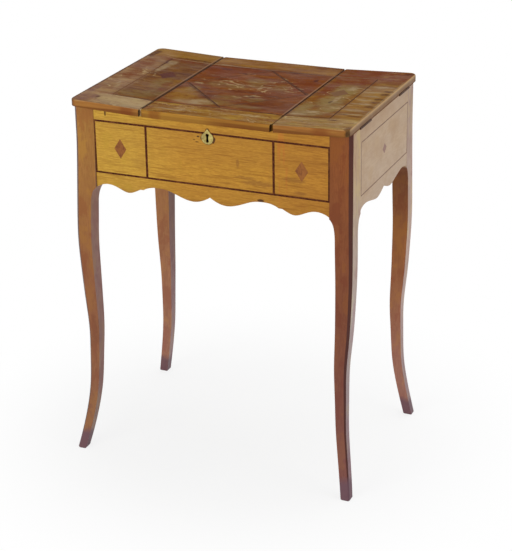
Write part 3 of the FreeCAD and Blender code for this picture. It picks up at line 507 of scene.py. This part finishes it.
def lid_edges(s, colour):
    """The edges are redder, with a painted highlight along the arris above and darker towards the bottom;
    the ends are greyer and paler, a painted sheen, and dark towards the bottom near the hinges.
    """
    x, y, z = s.axis("X"), s.axis("Y"), s.axis("Z")
    pale = s.mix(s.strip("X", -0.128, 0.128, 0.001), tone(166, 114, 57), tone(166, 118, 49))
    grain = s.rerange(s.noise((9.0, 60.0, 240.0), 3, 0.6), 0.3, 0.7)
    edge = s.mix(grain, pale, s.shade(pale, (0.70, 0.60, 0.66)))
    # painted highlight along the top arris
    edge = s.mix(s.rerange(z, TOP_Z - 0.0030, TOP_Z - 0.0008, 0.0, 0.75), edge, tone(182, 142, 92))
    # darker towards the bottom of the edge
    edge = s.mix(s.rerange(z, TOP_Z - 0.0100, TOP_Z - 0.0128, 0.0, 0.7), edge, tone(106, 62, 30))
    edge = s.tinted(edge, tone(186, 140, 58), s.strip("X", -0.128, 0.02, 0.03), 0.35)
    brown = s.most([s.strip("X", -0.168, -0.142, 0.006), s.strip("X", -0.110, -0.088, 0.005),
                    s.strip("X", -0.275, -0.262, 0.004), s.product(s.strip("X", 0.0, 0.10, 0.02), 0.4),
                    s.strip("X", 0.205, 0.235, 0.010)])
    edge = s.tinted(edge, tone(122, 64, 32), brown, 0.55)
    # the ends are painted pale towards the top, a painted sheen
    end = s.mix(s.rerange(z, TOP_Z - 0.0010, TOP_Z - 0.0070), tone(174, 146, 112), tone(142, 114, 90))
    end = s.mix(s.rerange(z, TOP_Z - 0.0095, TOP_Z - 0.0130), end, tone(112, 78, 58))
    outward = s.rerange(s.math("ABSOLUTE", s.facing("X")), 0.5, 0.8, 0.0, 0.9)
    edge = s.mix(outward, edge, s.shade(end, 0.94))
    sides = s.most([s.rerange(y, LID_FRONT_Y + 0.0027, LID_FRONT_Y + 0.0015),
                    s.rerange(y, CASE_Y + 0.1900, CASE_Y + 0.1912),
                    s.rerange(s.math("ABSOLUTE", x), 0.2705, 0.2715)])
    return s.mix(sides, colour, edge)


def notches(s, colour):
    """In the worn notches at the front of the joints, painted light on the left notch's wall and painted
    shade on the walls of both; and the battered right corner.
    """
    wall = s.rerange(s.facing("X"), 0.6, 0.85)
    # painted light on the left notch's wall, where it stands in shade
    lit = s.product(s.blob((-0.1293, LID_FRONT_Y + 0.0045, 0.708), (0.003, 0.006, 0.02), 0.4), wall)
    colour = s.tinted(colour, tone(236, 204, 150), lit, 0.9)
    # painted shade on the walls of both notches
    left = s.product(s.blob((-0.1307, LID_FRONT_Y, 0.708), (0.0009, 0.02, 0.02), 0.4), wall)
    right = s.product(s.blob((0.1243, LID_FRONT_Y, 0.708), (0.0020, 0.02, 0.02), 0.4), wall)
    corner = s.blob((0.2670, LID_FRONT_Y + 0.0050, 0.7065), (0.0050, 0.0050, 0.0050), 0.9,
                    s.warped(0.004, 200.0))
    return s.tinted(colour, (0.018, 0.008, 0.005), s.most([left, right, s.product(corner, 0.5)]), 0.92)


def lid_wood(name, seed, base, border, streaks, spots):
    s = Shader(name, specular=0.015)
    x, y = s.axis("X"), s.axis("Y")
    dark, pale = s.shade(base, (0.5, 0.4, 0.4)), s.shade(base, (1.3, 1.45, 1.4))
    colour, height, _ = wood(s, "X", base, dark, pale, ring=9.0, figure=0.5, seed=seed, wander=0.012,
                             lines=0.4)
    moved = s.warped(0.016, (34.0, 60.0, 34.0))
    # the borders outside the stringing, with ripples along the front one; the pale streaks of the ripples
    # are painted sheen of the uneven varnish
    front = s.product(s.rerange(y, CASE_Y - 0.124, CASE_Y - 0.130), s.rerange(x, -0.250, -0.208, 0.3, 1.0))
    back = s.rerange(y, CASE_Y + 0.136, CASE_Y + 0.142)
    end = s.rerange(s.math("ABSOLUTE", x), 0.2020, 0.2260)
    colour = s.tinted(colour, border, end, 0.45)
    colour = s.tinted(colour, GOLD, back, s.rerange(x, 0.130, 0.120, 0.0, 0.5))
    colour = s.tinted(colour, border, front, 0.65)
    ripple = s.noise((26.0, 150.0, 26.0), 3, 0.6, moved, offset=(seed, 3.0, 1.0), distortion=1.2)
    colour = s.tinted(colour, streaks, s.product(s.rerange(ripple, 0.39, 0.60), front), 0.8)
    colour = s.tinted(colour, DARK, s.product(s.rerange(s.away(ripple, 0.38), 0.030, 0.008), front), 0.55)
    colour = s.mix(s.rerange(ripple, 0.58, 0.74, 0.0, 0.3), colour, OLIVE)
    # uneven darkening and a streaky figure
    dusk = s.noise((9.0, 15.0, 9.0), 4, 0.6, moved, offset=(seed * 3, 1.0, 0.0))
    colour = s.mix(s.rerange(dusk, 0.5, 0.72, 0.0, 0.5), colour, s.shade(base, (0.68, 0.58, 0.55)))
    figure = s.noise((14.0, 66.0, 14.0), 4, 0.7, moved, offset=(7.0, seed, 2.0))
    colour = s.mix(s.rerange(figure, 0.52, 0.60, 0.0, 0.75), colour, s.shade(colour, (1.28, 1.46, 1.30)))
    colour = s.mix(s.rerange(figure, 0.48, 0.40, 0.0, 0.75), colour, s.shade(colour, (0.76, 0.60, 0.50)))
    broken = s.rerange(s.noise((70.0, 120.0, 70.0), 3, 0.6, offset=(seed, 5.0, 2.0)), 0.3, 0.6, 0.35, 1.0)
    colour = spotted(s, colour, spots, broken, moved)
    colour = s.tinted(colour, s.shade(base, 0.25), s.product(lozenge_grime(s), broken), 0.6)
    colour = s.tinted(colour, varnished(184, 158, 114), hairlines(s, seed, ripple, front), 0.65)
    colour = joints(s, colour)
    # the underside has no varnish and no wear
    bare = wood(s, "X", tone(146, 96, 54), seed=seed + 4.0)[0]
    colour = s.mix(s.rerange(s.facing("Z"), -0.3, -0.7), colour, bare)
    colour = notches(s, lid_edges(s, colour))
    gloss = s.noise((12.0, 30.0, 12.0), 4, 0.65, moved, offset=(seed, 0.0, 6.0))
    normal = s.bump(s.noise((16.0, 34.0, 16.0), 3, 0.5, offset=(seed, 1.0, 1.0)), 0.0016, 0.6)
    normal = s.bump(ripple, 0.0005, 0.6, normal)
    normal = s.bump(height, 0.00015, 0.7, normal)
    return s.finish(colour, s.rerange(gloss, 0.35, 0.65, 0.3, 0.6), normal)


# Metals and looking glass

def metal(name, base, dull, low, high, metallic=1.0, specular=0.5):
    s = Shader(name, specular=specular, Metallic=metallic)
    mottle = s.noise(320.0, 4, 0.6)
    broad = s.noise(320.0 / 7, 3, 0.6, offset=(4.0, 1.0, 2.0))
    tarnish = s.math("ADD", s.product(mottle, 0.5), s.product(broad, 0.5))
    colour = s.mix(s.rerange(tarnish, 0.36, 0.62), base, dull)
    return s.finish(colour, s.rerange(mottle, 0.3, 0.7, low, high), s.bump(mottle, 0.00015, 0.6))


def mirror_glass():
    s = Shader("mirror_glass", specular=0.5, Metallic=1.0)
    foxing = s.rerange(s.noise(38.0, 5, 0.65), 0.60, 0.72)
    specks = s.rerange(s.noise(420.0, 2, 0.5), 0.70, 0.76)
    bad = s.most([s.product(foxing, 0.6), specks])
    colour = s.mix(bad, (0.80, 0.82, 0.81), (0.30, 0.27, 0.23))
    return s.finish(colour, s.rerange(bad, 0.0, 1.0, 0.03, 0.4), s.bump(s.noise(6.0, 2, 0.5), 0.0003, 0.3))


def leg_tones(level, *colours):
    """Stops at the post, at the knee and above the foot, from colours as they look under the lamps."""
    return [(z, tone(*colour, level)) for z, colour in zip((0.64, 0.36, 0.08), colours)]


# What the lamps do to the front of the legs and to their sides
FRONT_LEVEL, RED_LEVEL, BACK_LEVEL = (1.01, 0.98, 0.79), (0.98, 0.92, 0.79), (1.15, 1.10, 0.95)
SIDE_LEVEL = (0.94, 0.90, 0.88)

INNER_TONES = (0.36, 0.24, 0.12), (0.20, 0.12, 0.06), (0.43, 0.30, 0.16)

# the side colours paint sheen on the right legs' outer faces and shade on the left legs' inner faces
leg_front_left = leg_wood(
    "leg_wood_light", leg_tones(FRONT_LEVEL, (158, 112, 60), (137, 89, 64), (140, 96, 77)),
    leg_tones(SIDE_LEVEL, (162, 124, 102), (150, 114, 105), (148, 118, 110)), tone(82, 54, 50), 2.0)
leg_front_right = leg_wood(
    "leg_wood_red", leg_tones(RED_LEVEL, (132, 77, 41), (124, 75, 56), (126, 82, 78)),
    leg_tones(SIDE_LEVEL, (184, 157, 122), (182, 167, 162), (148, 124, 130)), tone(76, 41, 37), 3.0)
leg_rear_left = leg_wood(
    "leg_wood_mid", leg_tones(BACK_LEVEL, (148, 104, 62), (148, 103, 72), (152, 108, 94)),
    leg_tones(SIDE_LEVEL, (112, 78, 66), (124, 90, 82), (160, 132, 134)), tone(104, 68, 55), 5.0)
# the rear right leg's front is painted darker at the post, a painted shadow under the apron
leg_rear_right = leg_wood(
    "leg_wood_brown", leg_tones(BACK_LEVEL, (104, 62, 46), (134, 86, 52), (144, 102, 94)),
    leg_tones(SIDE_LEVEL, (174, 148, 130), (190, 164, 150), (156, 132, 134)), tone(92, 56, 44), 6.0)
back = plain_wood("back_wood", "X", (0.26, 0.125, 0.045), (0.13, 0.055, 0.022), (0.33, 0.17, 0.06),
                  0.45, 0.65, 7.0)
inner = plain_wood("inner_wood", "X", *INNER_TONES, 0.6, 0.8, 10.0, 0.1)
inner_across = plain_wood("inner_wood_across", "Y", *INNER_TONES, 0.6, 0.8, 11.0, 0.1)
bead = plain_wood("bead_wood", "Y", (0.15, 0.06, 0.025), (0.07, 0.025, 0.012), (0.20, 0.085, 0.035),
                  0.3, 0.5, 12.0)
stringing = dark_wood("dark_wood", (0.055, 0.013, 0.006), (0.125, 0.036, 0.013), (0.18, 0.065, 0.022))
lid_stringing = dark_wood("dark_wood_worn", (0.038, 0.010, 0.003), (0.070, 0.021, 0.007),
                          (0.11, 0.040, 0.015), faded=True)
red_lozenge = red_wood()
brass = metal("brass", (0.50, 0.42, 0.145), (0.22, 0.165, 0.055), 0.28, 0.5)
iron = metal("iron", (0.20, 0.18, 0.165), (0.08, 0.06, 0.05), 0.4, 0.65, 0.85)
hinge_iron = metal("hinge_iron", (0.125, 0.068, 0.044), (0.065, 0.034, 0.024), 0.5, 0.7, 0.3, 0.1)

MATERIALS = {
    "leg_front_left": leg_front_left,
    "leg_front_right": leg_front_right,
    "leg_rear_left": leg_rear_left,
    "leg_rear_right": leg_rear_right,
    "front_panel": frieze_wood(),
    "back_panel": back,
    "side_panel_left": side_wood("side_wood", tone(160, 114, 66)),
    # painted sheen: the right side panel is given a paler copy of the side wood
    "side_panel_right": side_wood("side_wood_painted_sheen", tone(180, 150, 118)),
    "bottom_board": inner,
    "cleat_front": inner,
    "cleat_back": inner,
    "cleat_left": inner_across,
    "cleat_right": inner_across,
    "partition_left": inner_across,
    "partition_right": inner_across,
    "front_stringing": stringing,
    "front_lozenges": red_lozenge,
    "side_stringing_left": stringing,
    # painted sheen: the right side's stringing is paler than the left's
    "side_stringing_right": dark_wood("dark_wood_painted_sheen", tone(112, 84, 70), tone(136, 106, 88),
                                      tone(150, 120, 98)),
    "side_lozenge_left": red_lozenge,
    # painted sheen: the right side's lozenge is paler than the left's
    "side_lozenge_right": lozenge_wood("side_lozenge_wood_painted_sheen", tone(156, 124, 114)),
    "escutcheon": brass,
    "lock_case": iron,
    "lock_face_plate": brass,
    "lock_bolt": iron,
    "lid_left": lid_wood("lid_wood_left", 1.0, varnished(116, 77, 50), varnished(174, 140, 108),
                         varnished(172, 146, 108), LEFT_SPOTS),
    "lid_left_stringing": lid_stringing,
    "lid_left_lozenge": lozenge_wood("lozenge_wood", tone(79, 36, 22)),
    "lid_centre": lid_wood("lid_wood_centre", 2.0, varnished(117, 68, 27), varnished(148, 104, 50),
                           varnished(154, 118, 60), CENTRE_SPOTS),
    "lid_centre_stringing": lid_stringing,
    "lid_right": lid_wood("lid_wood_right", 3.0, varnished(124, 80, 38), varnished(158, 122, 74),
                          varnished(152, 122, 78), RIGHT_SPOTS),
    "lid_right_stringing": lid_stringing,
    "lid_right_lozenge": lozenge_wood("lozenge_wood_pale", tone(104, 70, 38)),
    "mirror_glass": mirror_glass(),
    "mirror_bead": bead,
    "link_plate": iron,
    "left_hinge_case_leaves": hinge_iron,
    "left_hinge_lid_leaves": hinge_iron,
    "right_hinge_case_leaves": hinge_iron,
    "right_hinge_lid_leaves": hinge_iron,
    "centre_hinge_case_leaves": hinge_iron,
    "centre_hinge_lid_leaves": hinge_iron,
}
for name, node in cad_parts.items():
    slots = node.data.materials
    if not slots:
        slots.append(MATERIALS[name])
    for index in range(len(slots)):
        slots[index] = MATERIALS[name]


# Small fasteners

def new_piece(name, work, material):
    """An object of the scene, made from a bmesh."""
    mesh = bpy.data.meshes.new(name)
    work.to_mesh(mesh)
    work.free()
    mesh.materials.append(material)
    piece = bpy.data.objects.new(name, mesh)
    bpy.context.scene.collection.objects.link(piece)
    return piece


SCREW_FACETS = 16


def screw_head(name, place, out, radius, proud, slot_turn, body):
    """A slotted screw head standing a little above the plate at place, facing along out."""
    work = bmesh.new()

    def tapered(points, low, high):
        bottom = [work.verts.new((x, y, low)) for x, y in points]
        top = [work.verts.new((x * 0.93, y * 0.93, high)) for x, y in points]
        work.faces.new(top)
        work.faces.new(bottom[::-1])
        for index in range(len(points)):
            after = (index + 1) % len(points)
            work.faces.new((bottom[index], bottom[after], top[after], top[index]))

    def arc(reach, turns):
        return [(reach * math.cos(turn), reach * math.sin(turn)) for turn in turns]

    tapered(arc(radius, [2 * math.pi * i / SCREW_FACETS for i in range(SCREW_FACETS)]), -proud, proud * 0.3)
    # the two halves beside the slot, which is about a seventh of the head wide
    start = math.asin(0.14)
    for way in (0, math.pi):
        turns = [way + start + (math.pi - 2 * start) * i / SCREW_FACETS for i in range(SCREW_FACETS + 1)]
        tapered(arc(radius * 0.99, turns), 0, proud)
    bmesh.ops.recalc_face_normals(work, faces=work.faces)
    piece = new_piece(name, work, iron)
    turn = Vector(out).to_track_quat("Z", "Y").to_matrix().to_4x4()
    piece.matrix_world = Matrix.Translation(Vector(place)) @ turn @ Matrix.Rotation(slot_turn, 4, "Z")
    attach(piece, body)


def pin_head(name, place, radius):
    """A domed brass pin in the escutcheon."""
    work = bmesh.new()
    bmesh.ops.create_uvsphere(work, u_segments=16, v_segments=10, radius=radius)
    for vert in work.verts:
        vert.co.y *= 0.4
    for face in work.faces:
        face.smooth = True
    piece = new_piece(name, work, brass)
    piece.location = place
    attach(piece, "case")


UP, DOWN, BACKWARD = (0, 0, 1), (0, 0, -1), (0, 1, 0)
SCREW, LOCK_SCREW = 0.0024, 0.0022      # radii of the heads
FLUSH, RAISED = 0.00012, 0.0003         # how far the heads stand out

# The hinges, from the middle of the case: along Y for the side lids, along X for the centre lid
SIDE_HINGES = (("front", -0.104), ("back", 0.110))
BACK_HINGES = (("left", -0.082), ("right", 0.082))
SIDE_HINGE_X = 0.2646


def side_hinge_screws():
    for side, way in (("left", -1), ("right", 1)):
        for at, middle in SIDE_HINGES:
            for index, along in enumerate((-0.0151, 0.0151)):
                x, y = way * SIDE_HINGE_X, CASE_Y + middle + along
                turn = 0.7 * index + 0.4 * way + middle * 9
                screw_head(f"{side}_{at}_case_screw_{index}", (x, y, 0.7017), UP, SCREW, FLUSH, turn, "case")
                screw_head(f"{side}_{at}_lid_screw_{index}", (x, y, 0.7020), DOWN, SCREW, FLUSH, turn + 0.9,
                           side + "_lid")


def back_hinge_screws():
    for name, middle in BACK_HINGES:
        for index, along in enumerate((-0.0119, 0.0119)):
            x = middle + along
            screw_head(f"back_{name}_case_screw_{index}", (x, CASE_Y + 0.1727, 0.6855), BACKWARD, SCREW,
                       RAISED, 0.5 + index, "case")
            screw_head(f"back_{name}_lid_screw_{index}", (x, CASE_Y + 0.1830, 0.6954), DOWN, SCREW, RAISED,
                       1.1 + index, "centre_lid")


def lock_screws():
    corners = [(x, z) for z in (0.6891, 0.6551) for x in (-0.0345, 0.0345)]
    for index, (x, z) in enumerate(corners):
        screw_head(f"lock_screw_{index}", (x, CASE_Y - 0.152, z), BACKWARD, LOCK_SCREW, RAISED, 0.6 * index,
                   "case")
    for index, x in enumerate((-0.0195, 0.0195)):
        screw_head(f"link_screw_{index}", (x, CASE_Y - 0.159, 0.696), DOWN, LOCK_SCREW, FLUSH, 0.8 * index,
                   "centre_lid")


side_hinge_screws()
back_hinge_screws()
lock_screws()
for index, z in enumerate((0.6558, 0.6773)):
    pin_head(f"escutcheon_pin_{index}", (KEYHOLE_X, FRONT_Y - 0.0013, z), 0.00095)


# Floor, background, lamps and camera

def number_node(tree, operation, a, b, clamp=False):
    node = tree.nodes.new("ShaderNodeMath")
    node.operation = operation
    node.use_clamp = clamp
    for socket, value in zip(node.inputs, (a, b)):
        if isinstance(value, bpy.types.NodeSocket):
            tree.links.new(value, socket)
        else:
            socket.default_value = value
    return node.outputs[0]


def white_for_camera(tree, surface, output, share):
    """Mixes in plain white, as far as share says, for camera, glossy and transmission rays."""
    path = tree.nodes.new("ShaderNodeLightPath")
    seen = number_node(tree, "ADD", path.outputs["Is Glossy Ray"], path.outputs["Is Transmission Ray"])
    seen = number_node(tree, "ADD", path.outputs["Is Camera Ray"], seen, clamp=True)
    mix = tree.nodes.new("ShaderNodeMixShader")
    tree.links.new(number_node(tree, "MULTIPLY", seen, share), mix.inputs[0])
    tree.links.new(surface, mix.inputs[1])
    kind = "ShaderNodeBackground" if output.bl_idname == "ShaderNodeOutputWorld" else "ShaderNodeEmission"
    white = tree.nodes.new(kind)
    white.inputs["Color"].default_value = (1, 1, 1, 1)
    white.inputs["Strength"].default_value = 1.0
    tree.links.new(white.outputs[0], mix.inputs[2])
    tree.links.new(mix.outputs[0], output.inputs["Surface"])


def make_floor():
    reach = 30.0
    corners = [(-reach, -reach, 0), (reach, -reach, 0), (reach, reach, 0), (-reach, reach, 0)]
    mesh = bpy.data.meshes.new("floor")
    mesh.from_pydata(corners, [], [(0, 1, 2, 3)])
    floor = bpy.data.objects.new("floor", mesh)
    bpy.context.scene.collection.objects.link(floor)
    material = bpy.data.materials.new("floor")
    material.use_nodes = True
    tree = material.node_tree
    tree.nodes.remove(tree.nodes["Principled BSDF"])
    diffuse = tree.nodes.new("ShaderNodeBsdfDiffuse")
    diffuse.inputs["Color"].default_value = (0.86, 0.87, 0.87, 1)
    # the shadow shows near the legs, and further away the floor is as white as the backdrop
    where = tree.nodes.new("ShaderNodeTexCoord")
    far = tree.nodes.new("ShaderNodeVectorMath")
    far.operation = "LENGTH"
    tree.links.new(where.outputs["Object"], far.inputs[0])
    share = tree.nodes.new("ShaderNodeMapRange")
    share.interpolation_type = "SMOOTHSTEP"
    for key, value in (("From Min", 0.25), ("From Max", 0.66), ("To Min", 0.79), ("To Max", 1.0)):
        share.inputs[key].default_value = value
    tree.links.new(far.outputs["Value"], share.inputs["Value"])
    white_for_camera(tree, diffuse.outputs[0], tree.nodes["Material Output"], share.outputs["Result"])
    mesh.materials.append(material)


def make_world():
    world = bpy.data.worlds.new("studio")
    bpy.context.scene.world = world
    world.use_nodes = True
    tree = world.node_tree
    ambient = tree.nodes["Background"]
    ambient.inputs["Color"].default_value = (0.96, 0.98, 1.0, 1)
    ambient.inputs["Strength"].default_value = 0.42
    white_for_camera(tree, ambient.outputs[0], tree.nodes["World Output"], 1.0)


def lamp(name, place, target, size, power, colour):
    data = bpy.data.lights.new(name, "AREA")
    data.shape = "RECTANGLE"
    data.size, data.size_y = size
    data.energy = power
    data.color = colour
    light = bpy.data.objects.new(name, data)
    bpy.context.scene.collection.objects.link(light)
    light.location = place
    light.rotation_euler = (Vector(target) - Vector(place)).to_track_quat("-Z", "Y").to_euler()


def make_camera():
    """Where the photograph was taken from, solved from the lines of the table in it."""
    yaw, pitch, roll = 0.4155718918, -0.3946187526, -0.0189598955
    focal, centre_x, centre_y = 1670.3175, 242.6011, 266.1926
    width, height, film = 512, 551, 36.0
    place = Vector((1.2002883, -2.7508017 + CASE_Y, 1.6014120))
    forward = Vector((-math.sin(yaw) * math.cos(pitch), math.cos(yaw) * math.cos(pitch), math.sin(pitch)))
    right = Vector((math.cos(yaw), math.sin(yaw), 0))
    up = right.cross(forward)
    turned_right = right * math.cos(roll) + up * math.sin(roll)
    turned_up = up * math.cos(roll) - right * math.sin(roll)
    data = bpy.data.cameras.new("camera")
    data.sensor_width = film
    data.lens = focal * film / height
    data.shift_x = (width / 2 - centre_x) / height
    data.shift_y = (centre_y - height / 2) / height
    camera = bpy.data.objects.new("camera", data)
    bpy.context.scene.collection.objects.link(camera)
    axes = Matrix((turned_right, turned_up, -forward)).transposed()
    camera.matrix_world = Matrix.Translation(place) @ axes.to_4x4()
    bpy.context.scene.camera = camera


make_floor()
make_world()
lamp("key", (-1.2, -3.2, 1.35), (0, 0, 0.45), (2.2, 1.6), 52.0, (1.0, 0.985, 0.96))
lamp("overhead", (0.3, 0.5, 2.9), (0, 0, 0.2), (2.2, 2.2), 38.0, (1.0, 1.0, 1.0))
lamp("right_fill", (2.6, -0.4, 1.4), (0, 0, 0.5), (1.4, 1.8), 16.0, (1.0, 0.99, 0.98))
make_camera()
bpy.context.scene.view_settings.view_transform = "Standard"
